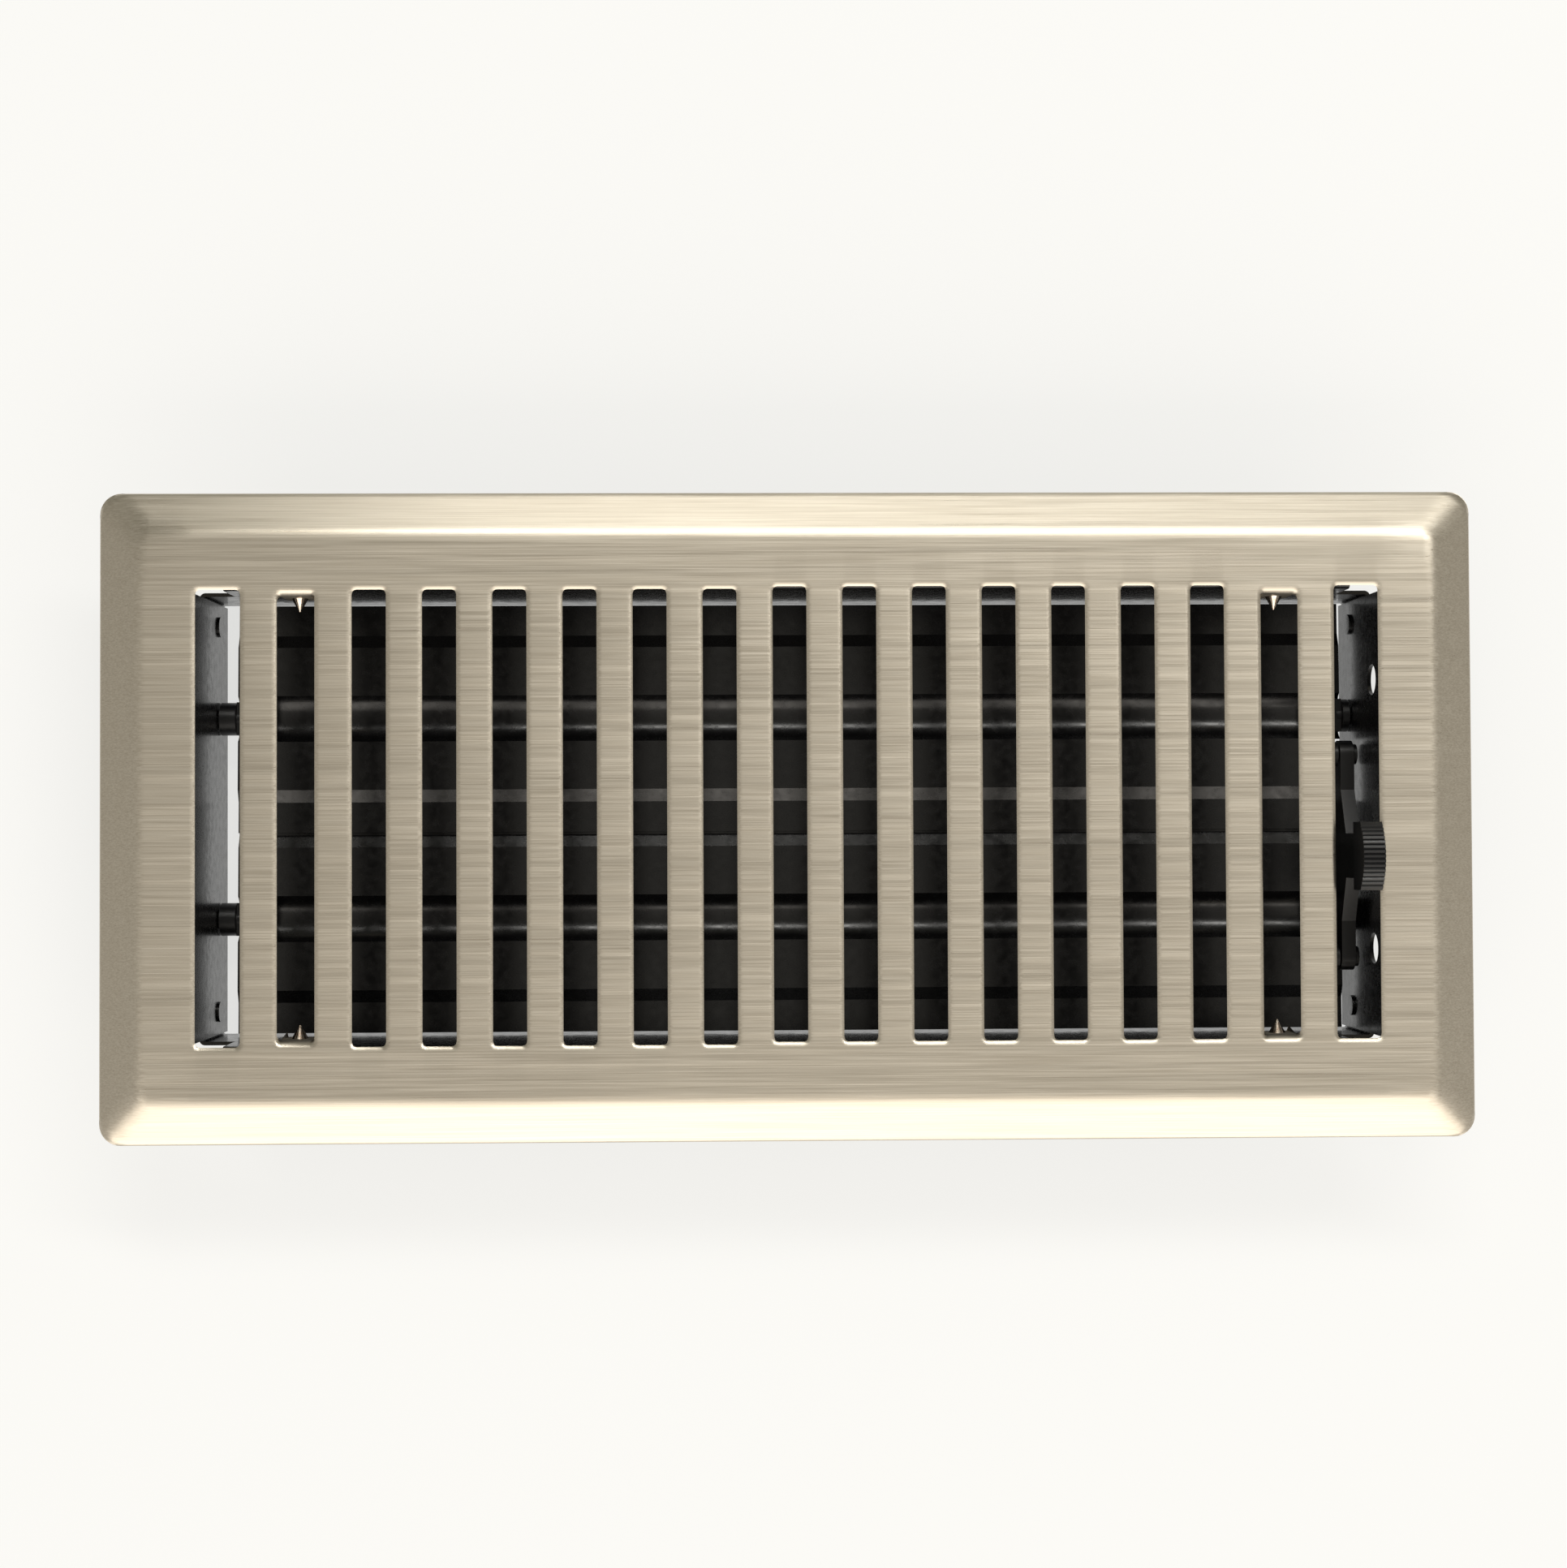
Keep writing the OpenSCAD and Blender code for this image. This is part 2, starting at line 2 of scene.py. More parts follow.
# # Floor air register in brushed nickel
# The register is a pressed steel faceplate over a black sheet steel damper box. The box, its
# two louvre blades, the moulded pivots and the thumb link arrive as finished solids, at their
# real size. This script dresses them: it models the faceplate again as one soft pressed sheet,
# and gives every surface the finish of the real thing.

# %% Load the frame
import bpy
import json
import math
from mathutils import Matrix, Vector


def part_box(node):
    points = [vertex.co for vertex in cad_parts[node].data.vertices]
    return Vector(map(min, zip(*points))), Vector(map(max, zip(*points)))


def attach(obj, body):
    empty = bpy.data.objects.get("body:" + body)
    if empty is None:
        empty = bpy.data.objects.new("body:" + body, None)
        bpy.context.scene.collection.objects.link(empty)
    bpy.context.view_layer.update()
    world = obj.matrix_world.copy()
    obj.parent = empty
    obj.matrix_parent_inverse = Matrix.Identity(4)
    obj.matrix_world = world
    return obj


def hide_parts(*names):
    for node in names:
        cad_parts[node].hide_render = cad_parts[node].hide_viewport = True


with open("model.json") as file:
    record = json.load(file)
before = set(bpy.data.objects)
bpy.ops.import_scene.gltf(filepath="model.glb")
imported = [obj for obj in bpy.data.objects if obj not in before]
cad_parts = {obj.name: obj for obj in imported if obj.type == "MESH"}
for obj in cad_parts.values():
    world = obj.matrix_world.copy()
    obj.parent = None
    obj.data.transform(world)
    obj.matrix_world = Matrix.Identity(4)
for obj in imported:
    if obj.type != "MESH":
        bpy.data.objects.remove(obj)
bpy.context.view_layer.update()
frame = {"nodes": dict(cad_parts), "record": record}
MM = 0.001
print("pieces in the frame:", len(frame["nodes"]))

# %% [markdown]
# ## Helpers
# A maker picks colours from a screen, so they are written as sRGB hex values. The
# renderer works with linear light, and one function turns the first into the second.

# %% Colour and node helpers
def linear(hex_code):
    """A colour given as an sRGB hex value, turned to linear light."""
    parts = [int(hex_code[i:i + 2], 16) / 255 for i in (1, 3, 5)]
    return [c / 12.92 if c <= 0.04045 else ((c + 0.055) / 1.055) ** 2.4 for c in parts] + [1.0]


def add_node(tree, kind, links=None, **settings):
    """Adds one node. A setting that names a socket fills it, and links feed sockets."""
    node = tree.nodes.new(kind)
    for name, value in settings.items():
        socket = node.inputs.get(name.replace("_", " "))
        if socket is not None and not hasattr(node, name):
            socket.default_value = value
        else:
            setattr(node, name, value)
    for name, source in (links or {}).items():
        tree.links.new(source, node.inputs[name])
    return node


def new_material(name):
    """A material with an empty tree, its shader and its output already joined."""
    material = bpy.data.materials.new(name)
    material.use_nodes = True
    tree = material.node_tree
    tree.nodes.clear()
    shader = add_node(tree, "ShaderNodeBsdfPrincipled")
    add_node(tree, "ShaderNodeOutputMaterial", {"Surface": shader.outputs["BSDF"]})
    return material, tree, shader


# %% [markdown]
# Operators act on whatever is selected, so each step starts by selecting nothing, and then
# picks its faces or edges by where they lie.

# %% Selection helpers
def select_only(thing):
    """Makes one object the only selected and the active one."""
    if bpy.context.mode != "OBJECT":
        bpy.ops.object.mode_set(mode="OBJECT")
    bpy.ops.object.select_all(action="DESELECT")
    thing.select_set(True)
    bpy.context.view_layer.objects.active = thing


def pick(thing, element, test):
    """Selects the faces, edges or vertices of a mesh that pass a test, and enters edit mode."""
    select_only(thing)
    bpy.ops.object.mode_set(mode="EDIT")
    bpy.ops.mesh.select_mode(type=element)
    bpy.ops.mesh.select_all(action="DESELECT")
    bpy.ops.object.mode_set(mode="OBJECT")
    mesh = thing.data
    found = 0
    for item in {"FACE": mesh.polygons, "EDGE": mesh.edges, "VERT": mesh.vertices}[element]:
        item.select = bool(test(item))
        found += item.select
    bpy.ops.object.mode_set(mode="EDIT")
    return found


def apply_modifiers(thing):
    """Applies every modifier of an object, in order."""
    select_only(thing)
    for modifier in list(thing.modifiers):
        bpy.ops.object.modifier_apply(modifier=modifier.name)


# %% [markdown]
# ## The faceplate's sizes
# The frame gives the faceplate's outline and heights. The slots are laid out as on the press
# tool: thirteen plain ones, then on each side one that carries the folded lugs, then a wide
# end slot. The tool strikes twice, and its second stroke lands half a millimetre higher.

# %% Sizes of the faceplate
plate_low, plate_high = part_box("faceplate")
PLATE_HALF_X = plate_high.x
PLATE_HALF_Y = plate_high.y
FACE_Z = plate_high.z
FACE_RISE = 4.7 * MM
RIM_Z = FACE_Z - FACE_RISE
RIM_EDGE = 0.8 * MM
SHEET = 1.2 * MM
SKIRT_RUN = 9 * MM
BEND_R = 7 * MM
CORNER_R = 4.5 * MM
MITRE_SOFTNESS = 6 * MM
EDGE_ROUND = 0.3 * MM
SLOPE = math.atan((FACE_RISE - RIM_EDGE) / SKIRT_RUN)

SLOT_PITCH = 14.63 * MM
SLOT_W = 7.1 * MM
SLOT_HALF_L = 47.6 * MM
SLOT_CORNER_R = 1 * MM
STRIKE_SHIFT = 0.5 * MM
LUG_SLOT_X = 102.98 * MM
LUG_SLOT_W = 7.8 * MM
LUG_IN = 46.2 * MM
LUG_FOLD_R = 2 * MM
LUG_DROP = 9.5 * MM
END_SLOT_X = 119.18 * MM
END_SLOT_W = 9.3 * MM
ROLL_R = 2 * MM
ROLL_REACH = 1.2 * MM


def slot_list():
    """Each slot as its middle, its half sizes and whether it carries lugs."""
    found = []
    for k in range(-6, 7):
        shift = STRIKE_SHIFT if k >= 0 else 0
        found.append((k * SLOT_PITCH, shift, SLOT_W / 2, SLOT_HALF_L, False))
    for side in (-1, 1):
        shift = STRIKE_SHIFT if side > 0 else 0
        found.append((side * LUG_SLOT_X, 0, LUG_SLOT_W / 2, LUG_IN, True))
        found.append((side * END_SLOT_X, shift, END_SLOT_W / 2, SLOT_HALF_L, False))
    return sorted(found)


SLOTS = slot_list()
print("slots:", len(SLOTS))

# %% [markdown]
# ## The form of the pressed sheet
# Pressing turns a flat blank into a shallow pan. Its height at any point follows from the
# distance to the nearest edge: a straight skirt, a round bend, then the flat face. A plain
# minimum of the two edge distances would give knife-sharp mitres. The real ones are soft, so
# the two distances are blended where they are nearly alike. Round each slot the punch drags
# the sheet down into a rolled edge, and at a lug the roll goes on until the sheet hangs down.

# %% Height of the sheet
def soft_minimum(a, b, softness):
    """The smaller of two lengths, rounded off where they are nearly the same."""
    share = max(softness - abs(a - b), 0) / softness
    return min(a, b) - share * share * softness / 4


def pan_height(x, y):
    """Height of the pan's outer surface above the floor that the rim lies on."""
    inset = soft_minimum(PLATE_HALF_X - abs(x), PLATE_HALF_Y - abs(y), MITRE_SOFTNESS)
    inset = max(inset, 0)
    bend_middle = SKIRT_RUN + BEND_R * math.tan(SLOPE / 2)
    bend_start = bend_middle - BEND_R * math.sin(SLOPE)
    if inset < bend_start:
        height = RIM_EDGE + inset * math.tan(SLOPE)
    elif inset < bend_middle:
        height = FACE_RISE - BEND_R + math.sqrt(BEND_R ** 2 - (bend_middle - inset) ** 2)
    else:
        height = FACE_RISE
    if inset < EDGE_ROUND:
        height -= EDGE_ROUND - math.sqrt(EDGE_ROUND ** 2 - (EDGE_ROUND - inset) ** 2)
    return height


def roll_drop(x, y):
    """How far the rolled edges of the nearest slot pull the surface down."""
    deepest = 0
    for middle_x, middle_y, half_w, half_l, lugged in SLOTS:
        if abs(x - middle_x) > half_w + 2 * LUG_FOLD_R:
            continue
        out_x = max(abs(x - middle_x) - half_w + SLOT_CORNER_R, 0)
        out_y = max(abs(y - middle_y) - half_l + SLOT_CORNER_R, 0)
        away = max(math.hypot(out_x, out_y) - SLOT_CORNER_R, 0)
        turn = math.atan2(out_y, max(out_x, 1e-9)) / (math.pi / 2)
        fold = turn * turn * (3 - 2 * turn) if lugged else 0
        reach = ROLL_REACH + fold * (LUG_FOLD_R - ROLL_REACH)
        if away < reach:
            radius = ROLL_R + fold * (LUG_FOLD_R - ROLL_R)
            drop = radius - math.sqrt(max(radius ** 2 - (reach - away) ** 2, 0))
            deepest = max(deepest, drop)
    return deepest


# %% [markdown]
# ## Laying out the sheet
# A grid is the right start: its columns and rows are slid to where the form needs them, close
# together over the bends and the rolled edges and far apart on the flats. Cells inside the
# slots are deleted, apart from the small squares at their corners, which are squeezed into
# round fillets.

# %% Columns and rows of the grid
def spread(start, stop, steps):
    """Evenly spaced places from start up to, and not including, stop."""
    return [start + (stop - start) * i / steps for i in range(steps)]


def skirt_lines(half):
    """Places across the rim, the skirt and the bend, measured from the middle."""
    insets = [0, 0.1 * MM, EDGE_ROUND] + spread(1 * MM, 7.2 * MM, 7)
    insets += spread(7.2 * MM, 11 * MM, 10) + [11 * MM]
    return [half - inset for inset in insets]


ROLL_STEPS = [0, 0.12 * MM, 0.3 * MM, 0.55 * MM, 0.85 * MM, ROLL_REACH]
FOLD_STEPS = [0, 0.04 * MM, 0.15 * MM, 0.4 * MM, 0.8 * MM, 1.3 * MM, LUG_FOLD_R]
FILLET_STEPS = [-0.33 * MM, -0.67 * MM, -SLOT_CORNER_R]


def grid_columns():
    """Where the grid's columns stand along the faceplate."""
    lines = {s * x for x in skirt_lines(PLATE_HALF_X) for s in (-1, 1)}
    for middle, _, half_w, _, _ in SLOTS:
        for step in ROLL_STEPS + FILLET_STEPS:
            lines.add(middle + half_w + step)
            lines.add(middle - half_w - step)
    return sorted(lines)


def grid_rows():
    """Where the grid's rows stand across the faceplate."""
    lines = {s * y for y in skirt_lines(PLATE_HALF_Y) for s in (-1, 1)}
    lines |= {s * y for y in spread(0, 40 * MM, 4) for s in (-1, 1)}
    for step in FOLD_STEPS + FILLET_STEPS:
        lines |= {s * (LUG_IN + step) for s in (-1, 1)}
    for shift in (0, STRIKE_SHIFT):
        for step in ROLL_STEPS + FILLET_STEPS:
            lines.add(shift + SLOT_HALF_L + step)
            lines.add(shift - SLOT_HALF_L - step)
    return sorted(lines)


COLUMNS = grid_columns()
ROWS = grid_rows()
print("grid:", len(COLUMNS), "columns and", len(ROWS), "rows")

# %% [markdown]
# The grid primitive comes with even spacing. Each vertex knows its column and row from its
# place, so it can be sent to the place that was worked out for them.

# %% Make the grid
bpy.ops.object.select_all(action="DESELECT")
bpy.ops.mesh.primitive_grid_add(
    x_subdivisions=len(COLUMNS) - 1, y_subdivisions=len(ROWS) - 1, size=2, location=(0, 0, 0)
)
sheet = bpy.context.object
sheet.name = "pressed_faceplate"
sheet.data.name = "pressed_faceplate"
for vertex in sheet.data.vertices:
    column = round((vertex.co.x + 1) / 2 * (len(COLUMNS) - 1))
    row = round((vertex.co.y + 1) / 2 * (len(ROWS) - 1))
    vertex.co = (COLUMNS[column], ROWS[row], FACE_Z)


# %% [markdown]
# A cell lies in a slot when its middle does. The corner squares stay for now.

# %% Open the slots
def in_slot(x, y):
    """True inside a slot, apart from the squares at its corners."""
    for middle_x, middle_y, half_w, half_l, _ in SLOTS:
        from_side = half_w - abs(x - middle_x)
        from_end = half_l - abs(y - middle_y)
        if from_side > 0 and from_end > 0:
            return from_side > SLOT_CORNER_R or from_end > SLOT_CORNER_R
    return False


pick(sheet, "FACE", lambda face: in_slot(face.center.x, face.center.y))
bpy.ops.mesh.delete(type="FACE")
bpy.ops.mesh.select_all(action="SELECT")
bpy.ops.mesh.delete_loose()
bpy.ops.object.mode_set(mode="OBJECT")
print("faces in the flat sheet:", len(sheet.data.polygons))

# %% [markdown]
# Each corner square is squeezed towards the slot's sharp corner until its inner sides lie on
# the fillet's arc. The plate's own corners are squeezed the other way, from a square to a
# quarter disc. Then every vertex drops to the height of the pressed form.

# %% Round the corners and press the sheet
def fillet_scale(u, v):
    """How much a point at (u, v) from a sharp corner shrinks towards it, in corner radii."""
    long = max(u, v)
    if long == 0:
        return 1
    along = (u + v) / math.hypot(u, v)
    arc = along - math.sqrt(max(along * along - 1, 0))
    return arc * long / math.hypot(u, v)


def round_slot_corner(x, y):
    """Moves a point of a slot's corner square onto the material side of the fillet."""
    for middle_x, middle_y, half_w, half_l, _ in SLOTS:
        u = (half_w - abs(x - middle_x)) / SLOT_CORNER_R
        v = (half_l - abs(y - middle_y)) / SLOT_CORNER_R
        if -1e-6 < u < 1.001 and -1e-6 < v < 1.001:
            scale = fillet_scale(max(u, 0), max(v, 0)) * SLOT_CORNER_R
            corner_x = math.copysign(half_w, x - middle_x)
            corner_y = math.copysign(half_l, y - middle_y)
            x = middle_x + corner_x - math.copysign(u * scale, corner_x)
            y = middle_y + corner_y - math.copysign(v * scale, corner_y)
            return x, y
    return x, y


def round_plate_corner(x, y):
    """Turns the square corner of the plate's outline into an arc."""
    centre_x = PLATE_HALF_X - CORNER_R
    centre_y = PLATE_HALF_Y - CORNER_R
    a = abs(x) - centre_x
    b = abs(y) - centre_y
    if a <= 0 or b <= 0:
        return x, y
    scale = max(a, b) / math.hypot(a, b)
    return math.copysign(centre_x + a * scale, x), math.copysign(centre_y + b * scale, y)


for vertex in sheet.data.vertices:
    x, y = round_slot_corner(vertex.co.x, vertex.co.y)
    x, y = round_plate_corner(x, y)
    vertex.co = (x, y, RIM_Z + pan_height(x, y) - roll_drop(x, y))

# %% [markdown]
# ## Folding the lugs
# At the four lug ends the roll already turns the sheet straight down. The end edge between
# the two fillets is extruded to the lug's full length.

# %% Extrude the lugs
def is_lug_edge(edge):
    """True for the straight end edges of the two lug slots."""
    ends = [sheet.data.vertices[i].co for i in edge.vertices]
    for end in ends:
        on_line = abs(abs(end.y) - LUG_IN) < 0.01 * MM
        between = abs(abs(end.x) - LUG_SLOT_X) < LUG_SLOT_W / 2 - 0.6 * SLOT_CORNER_R
        if not (on_line and between):
            return False
    return True


lug_edges = pick(sheet, "EDGE", is_lug_edge)
bpy.ops.mesh.extrude_region_move(TRANSFORM_OT_translate={"value": (0, 0, LUG_FOLD_R - LUG_DROP)})
bpy.ops.object.mode_set(mode="OBJECT")
print("lug edges extruded:", lug_edges)

# %% [markdown]
# ## Thickness
# So far the sheet has no thickness. Solidify grows it inwards by the gauge of the steel. Its
# lower rim would end up just under the floor that the rim lies on, so those vertices are
# lifted onto it, which gives the narrow land that a ground edge has.

# %% Give the sheet its gauge
thickness = sheet.modifiers.new("gauge", "SOLIDIFY")
thickness.thickness = SHEET
thickness.offset = -1
thickness.use_even_offset = True
apply_modifiers(sheet)
for vertex in sheet.data.vertices:
    outside = abs(vertex.co.x) > END_SLOT_X + END_SLOT_W or abs(vertex.co.y) > LUG_IN + 6 * MM
    if outside and vertex.co.z < RIM_Z:
        vertex.co.z = RIM_Z
select_only(sheet)
bpy.ops.object.mode_set(mode="EDIT")
bpy.ops.mesh.select_all(action="SELECT")
bpy.ops.mesh.normals_make_consistent(inside=False)
bpy.ops.object.mode_set(mode="OBJECT")
bpy.ops.object.shade_smooth_by_angle(angle=math.radians(40))
print("faces in the faceplate:", len(sheet.data.polygons))

# %% [markdown]
# The brushing runs along the plate. A map with its first axis along the plate tells the
# shader which way the scratches lie, on the face and on the lugs alike.

# %% Map for the brushing direction
brush_map = sheet.data.uv_layers.new(name="brushing")
for loop in sheet.data.loops:
    place = sheet.data.vertices[loop.vertex_index].co
    brush_map.data[loop.index].uv = (place.x, place.y + place.z)

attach(sheet, "housing")
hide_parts("faceplate")

# %% [markdown]
# ## Brushed nickel
# The plate is steel with a satin nickel plating over a brushed ground. Nickel is a little
# warmer than chrome. The scratches are long and fine and stretch a reflection across
# themselves, so the shader is anisotropic, and streaks of noise vary its roughness.

# %% Brushed nickel
SCRATCH_LENGTH = 30 * MM
SCRATCH_SPACING = 0.22 * MM
BAND_LENGTH = 90 * MM
BAND_SPACING = 1.6 * MM


def streaks(tree, place, length, spacing, detail):
    """Noise drawn out along the plate: each streak is about that long and that wide."""
    squeeze = add_node(
        tree, "ShaderNodeMapping", {"Vector": place},
        Scale=(1 / length, 1 / spacing, 1 / spacing),
    )
    return add_node(
        tree, "ShaderNodeTexNoise", {"Vector": squeeze.outputs["Vector"]},
        Scale=1.0, Detail=detail, Roughness=0.6,
    )


def make_brushed_nickel():
    material, tree, shader = new_material("satin_nickel_plate_brushed")
    place = add_node(tree, "ShaderNodeTexCoord").outputs["Object"]
    scratches = streaks(tree, place, SCRATCH_LENGTH, SCRATCH_SPACING, 3.0)
    bands = streaks(tree, place, BAND_LENGTH, BAND_SPACING, 2.0)
    both = add_node(
        tree, "ShaderNodeMath", {0: scratches.outputs["Fac"], 1: bands.outputs["Fac"]},
        operation="ADD",
    )
    tone = add_node(tree, "ShaderNodeValToRGB", {"Fac": scratches.outputs["Fac"]})
    tone.color_ramp.elements[0].position = 0.25
    tone.color_ramp.elements[0].color = linear("#B3AA9B")
    tone.color_ramp.elements[1].position = 0.75
    tone.color_ramp.elements[1].color = linear("#D0C9BC")
    dullness = add_node(
        tree, "ShaderNodeMapRange", {"Value": both.outputs["Value"]},
        From_Min=0.6, From_Max=1.4, To_Min=0.26, To_Max=0.40,
    )
    relief = add_node(
        tree, "ShaderNodeBump", {"Height": scratches.outputs["Fac"]},
        Strength=0.25, Distance=0.02 * MM,
    )
    tree.links.new(tone.outputs["Color"], shader.inputs["Base Color"])
    tree.links.new(dullness.outputs["Result"], shader.inputs["Roughness"])
    tree.links.new(relief.outputs["Normal"], shader.inputs["Normal"])
    shader.inputs["Metallic"].default_value = 1.0
    shader.inputs["Anisotropic"].default_value = 0.6
    shader.inputs["Anisotropic Rotation"].default_value = 0.25
    tangent = add_node(tree, "ShaderNodeTangent", direction_type="UV_MAP", uv_map="brushing")
    tree.links.new(tangent.outputs["Tangent"], shader.inputs["Tangent"])
    return material


def dress(thing, material):
    """Gives a piece one material all over."""
    thing.data.materials.clear()
    thing.data.materials.append(material)


dress(sheet, make_brushed_nickel())

# %% [markdown]
# ## Black enamel and moulded black plastic
# The damper box and its blades are sheet steel with a baked black enamel, smooth with a
# faint orange peel. The pivots and the thumb link are moulded in black plastic, a touch
# duller, with the fine grain of the mould.

# %% Black enamel
PEEL_SIZE = 1.8 * MM


def make_black_enamel():
    material, tree, shader = new_material("baked_black_enamel")
    place = add_node(tree, "ShaderNodeTexCoord").outputs["Object"]
    peel = add_node(
        tree, "ShaderNodeTexNoise", {"Vector": place},
        Scale=1 / PEEL_SIZE, Detail=2.0, Roughness=0.5,
    )
    relief = add_node(
        tree, "ShaderNodeBump", {"Height": peel.outputs["Fac"]},
        Strength=0.12, Distance=0.05 * MM,
    )
    dullness = add_node(
        tree, "ShaderNodeMapRange", {"Value": peel.outputs["Fac"]},
        From_Min=0.3, From_Max=0.7, To_Min=0.2, To_Max=0.3,
    )
    tree.links.new(relief.outputs["Normal"], shader.inputs["Normal"])
    tree.links.new(dullness.outputs["Result"], shader.inputs["Roughness"])
    shader.inputs["Base Color"].default_value = linear("#0B0B0C")
    return material


# %% Moulded plastic
GRAIN_SIZE = 0.35 * MM


def make_black_plastic():
    material, tree, shader = new_material("moulded_black_plastic")
    place = add_node(tree, "ShaderNodeTexCoord").outputs["Object"]
    grain = add_node(
        tree, "ShaderNodeTexNoise", {"Vector": place},
        Scale=1 / GRAIN_SIZE, Detail=3.0, Roughness=0.55,
    )
    relief = add_node(
        tree, "ShaderNodeBump", {"Height": grain.outputs["Fac"]},
        Strength=0.15, Distance=0.03 * MM,
    )
    dullness = add_node(
        tree, "ShaderNodeMapRange", {"Value": grain.outputs["Fac"]},
        From_Min=0.3, From_Max=0.7, To_Min=0.32, To_Max=0.45,
    )
    tree.links.new(relief.outputs["Normal"], shader.inputs["Normal"])
    tree.links.new(dullness.outputs["Result"], shader.inputs["Roughness"])
    shader.inputs["Base Color"].default_value = linear("#0E0E10")
    return material


# %% Plated steel
def make_plated_steel():
    material, tree, shader = new_material("bright_plated_screw_steel")
    place = add_node(tree, "ShaderNodeTexCoord").outputs["Object"]
    stain = add_node(
        tree, "ShaderNodeTexNoise", {"Vector": place},
        Scale=1 / (0.8 * MM), Detail=3.0, Roughness=0.6,
    )
    tone = add_node(tree, "ShaderNodeValToRGB", {"Fac": stain.outputs["Fac"]})
    tone.color_ramp.elements[0].position = 0.3
    tone.color_ramp.elements[0].color = linear("#B59A86")
    tone.color_ramp.elements[1].position = 0.7
    tone.color_ramp.elements[1].color = linear("#D9D2C6")
    tree.links.new(tone.outputs["Color"], shader.inputs["Base Color"])
    shader.inputs["Metallic"].default_value = 1.0
    shader.inputs["Roughness"].default_value = 0.22
    return material


# %% Dress the solids
FINISHES = {
    "black_enamel": make_black_enamel(),
    "black_plastic": make_black_plastic(),
    "plated_screw": make_plated_steel(),
}
for part in frame["record"]["subparts"]:
    finish = FINISHES.get(part["material_slot"])
    if finish is not None:
        dress(frame["nodes"][part["node"]], finish)

# %% [markdown]
# ## Floor, light and camera
# The register lies on a pale floor and the camera looks down on its face. The floor shines a
# little for camera and mirror rays, which keeps it near white without flooding the object.

# %% Floor
FLOOR_SIZE = 8.0
FLOOR_GLOW = 0.75


def make_floor_paint():
    material, tree, shader = new_material("pale_floor")
    shader.inputs["Base Color"].default_value = linear("#EDEDEB")
    shader.inputs["Roughness"].default_value = 0.9
    shader.inputs["Specular IOR Level"].default_value = 0.0
    glow = add_node(tree, "ShaderNodeEmission", Color=linear("#F9F9F7"), Strength=1.0)
    rays = add_node(tree, "ShaderNodeLightPath")
    seen = add_node(
        tree, "ShaderNodeMath",
        {0: rays.outputs["Is Camera Ray"], 1: rays.outputs["Is Glossy Ray"]},
        operation="MAXIMUM",
    )
    share = add_node(
        tree, "ShaderNodeMath", {0: seen.outputs["Value"]}, operation="MULTIPLY"
    )
    share.inputs[1].default_value = FLOOR_GLOW
    mix = add_node(
        tree, "ShaderNodeMixShader",
        {"Fac": share.outputs["Value"], 1: shader.outputs["BSDF"], 2: glow.outputs["Emission"]},
    )
    output = next(n for n in tree.nodes if n.type == "OUTPUT_MATERIAL")
    tree.links.new(mix.outputs["Shader"], output.inputs["Surface"])
    return material


bpy.ops.object.select_all(action="DESELECT")
bpy.ops.mesh.primitive_plane_add(size=FLOOR_SIZE, location=(0, 0, -0.1 * MM))
floor = bpy.context.object
floor.name = "floor"
dress(floor, make_floor_paint())


# %% Lamps
def add_softbox(name, place, aim, width, height, power, colour):
    """A rectangular soft lamp at a place, turned towards a point."""
    lamp = bpy.data.lights.new(name, "AREA")
    lamp.shape = "RECTANGLE"
    lamp.size = width
    lamp.size_y = height
    lamp.energy = power
    lamp.color = linear(colour)[:3]
    holder = bpy.data.objects.new(name, lamp)
    bpy.context.collection.objects.link(holder)
    holder.location = place
    holder.rotation_euler = (Vector(aim) - Vector(place)).to_track_quat("-Z", "Y").to_euler()
    return holder


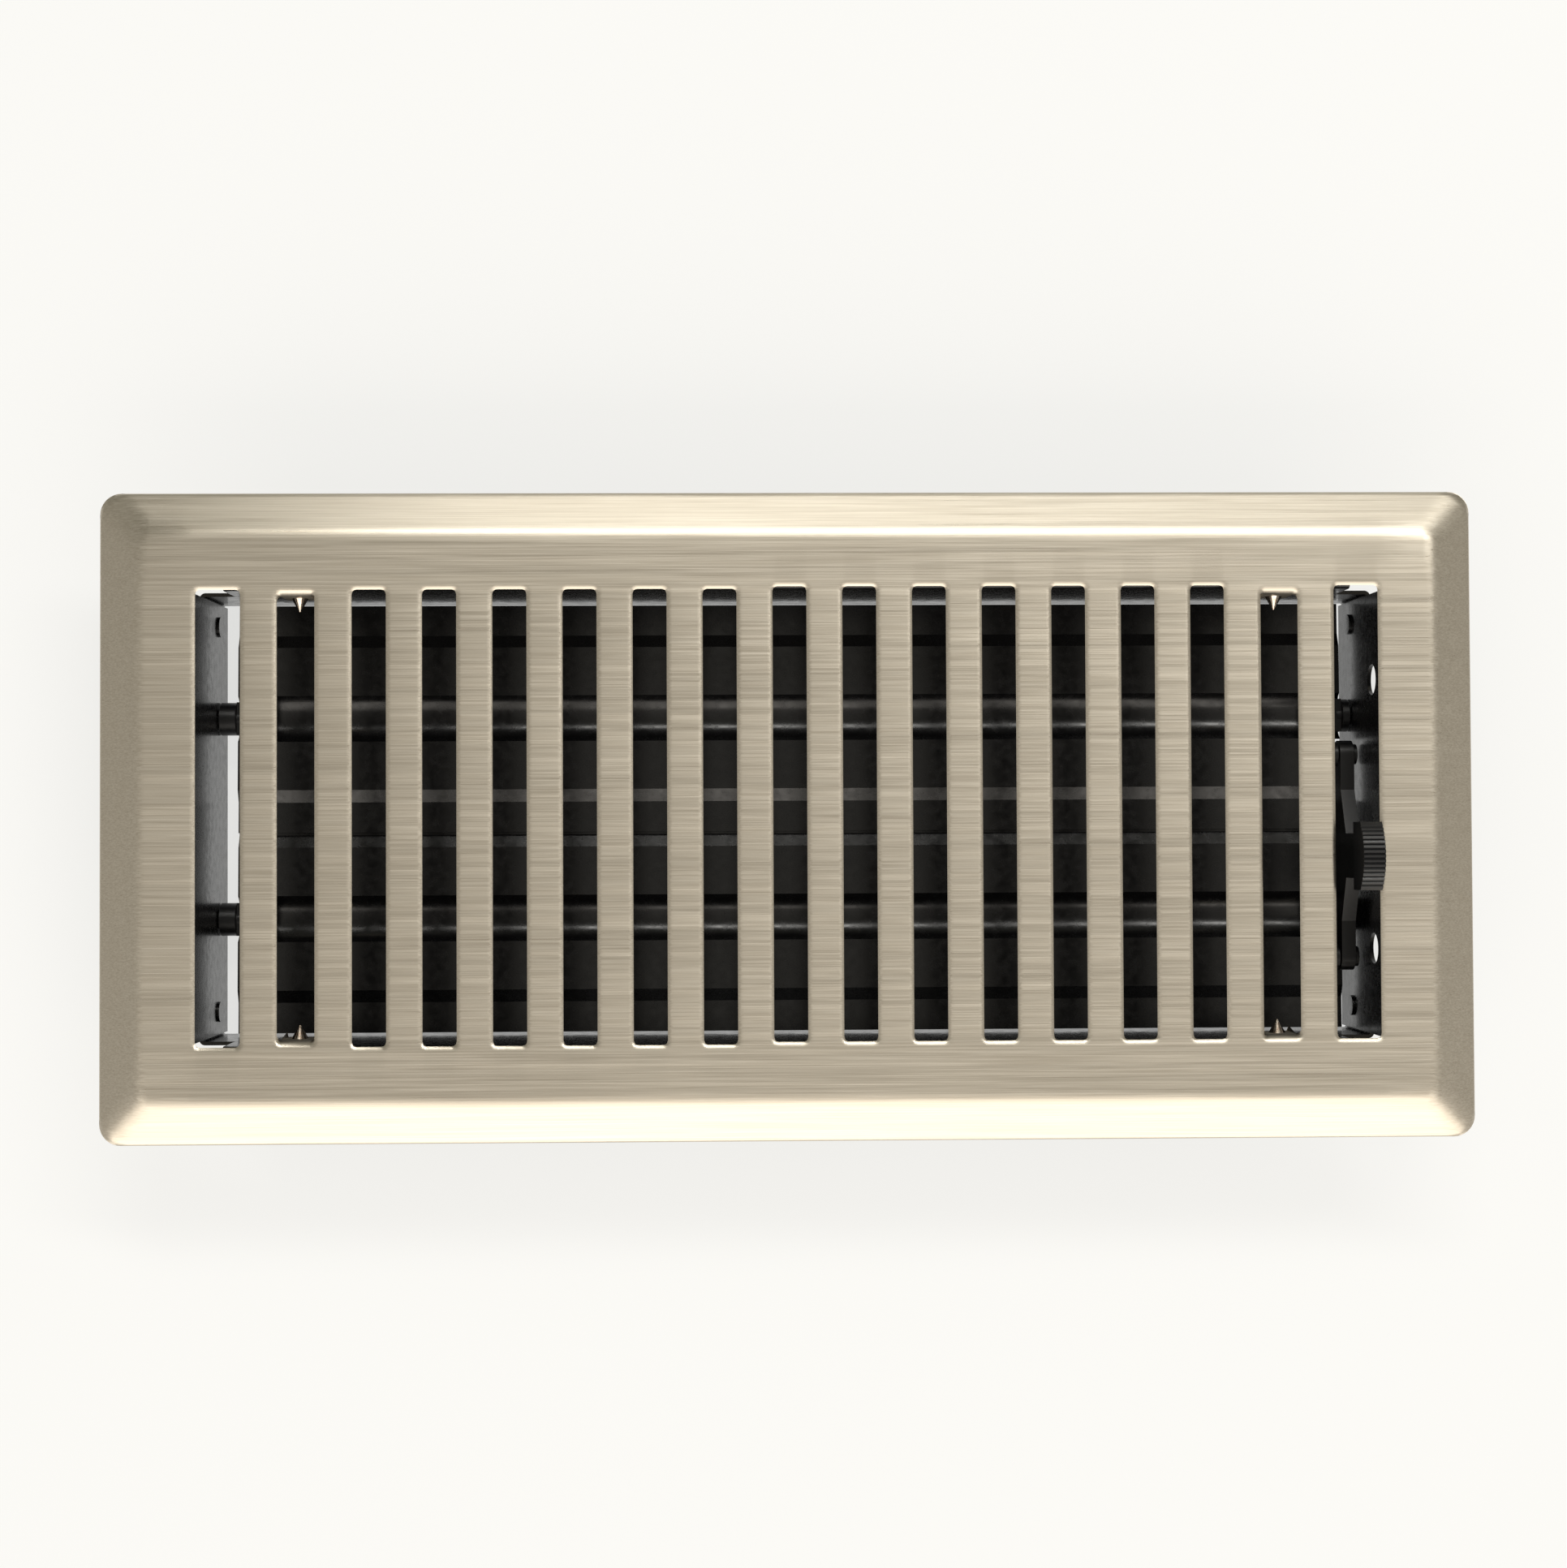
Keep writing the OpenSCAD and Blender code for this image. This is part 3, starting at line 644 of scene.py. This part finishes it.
add_softbox("strip_above", (0.35, 0.95, 1.25), (0.05, 0, 0.03), 1.5, 0.22, 14, "#FFFDF8")
add_softbox("card_below", (0, -1.3, 0.9), (0, 0, 0.03), 2.6, 1.2, 22, "#FFF8EE")

# %% World
def make_studio_world():
    world = bpy.data.worlds.new("studio")
    bpy.context.scene.world = world
    world.use_nodes = True
    tree = world.node_tree
    tree.nodes.clear()
    direction = add_node(tree, "ShaderNodeTexCoord").outputs["Generated"]
    parts = add_node(tree, "ShaderNodeSeparateXYZ", {"Vector": direction})
    blend = add_node(
        tree, "ShaderNodeMapRange", {"Value": parts.outputs["Y"]},
        From_Min=-0.8, From_Max=0.8, To_Min=0.0, To_Max=1.0,
    )
    sky = add_node(tree, "ShaderNodeValToRGB", {"Fac": blend.outputs["Result"]})
    sky.color_ramp.elements[0].color = linear("#F5EFE6")
    sky.color_ramp.elements[1].color = linear("#9C9A8E")
    light = add_node(
        tree, "ShaderNodeBackground", {"Color": sky.outputs["Color"]}, Strength=0.85
    )
    white = add_node(tree, "ShaderNodeBackground", Color=linear("#F4F4F2"), Strength=1.0)
    rays = add_node(tree, "ShaderNodeLightPath")
    mix = add_node(
        tree, "ShaderNodeMixShader",
        {"Fac": rays.outputs["Is Camera Ray"], 1: light.outputs["Background"],
         2: white.outputs["Background"]},
    )
    add_node(tree, "ShaderNodeOutputWorld", {"Surface": mix.outputs["Shader"]})


make_studio_world()

# %% [markdown]
# The camera's place and turn were fitted to the plate's corners and the ends of the slots.

# %% Camera
IMAGE_HEIGHT = 1932
FOCAL_LENGTH_PIXELS = 2923.5
SENSOR = 36.0

view = bpy.data.cameras.new("camera")
view.sensor_width = SENSOR
view.lens = SENSOR * FOCAL_LENGTH_PIXELS / IMAGE_HEIGHT
view.clip_start = 0.01
view.clip_end = 20
camera = bpy.data.objects.new("camera", view)
bpy.context.collection.objects.link(camera)
camera.location = (-11.94 * MM, -3.91 * MM, 530 * MM)
camera.rotation_mode = "ZYX"
camera.rotation_euler = [math.radians(a) for a in (1.223, -1.218, -0.228)]
bpy.context.scene.camera = camera
bpy.context.scene.view_settings.view_transform = "Standard"
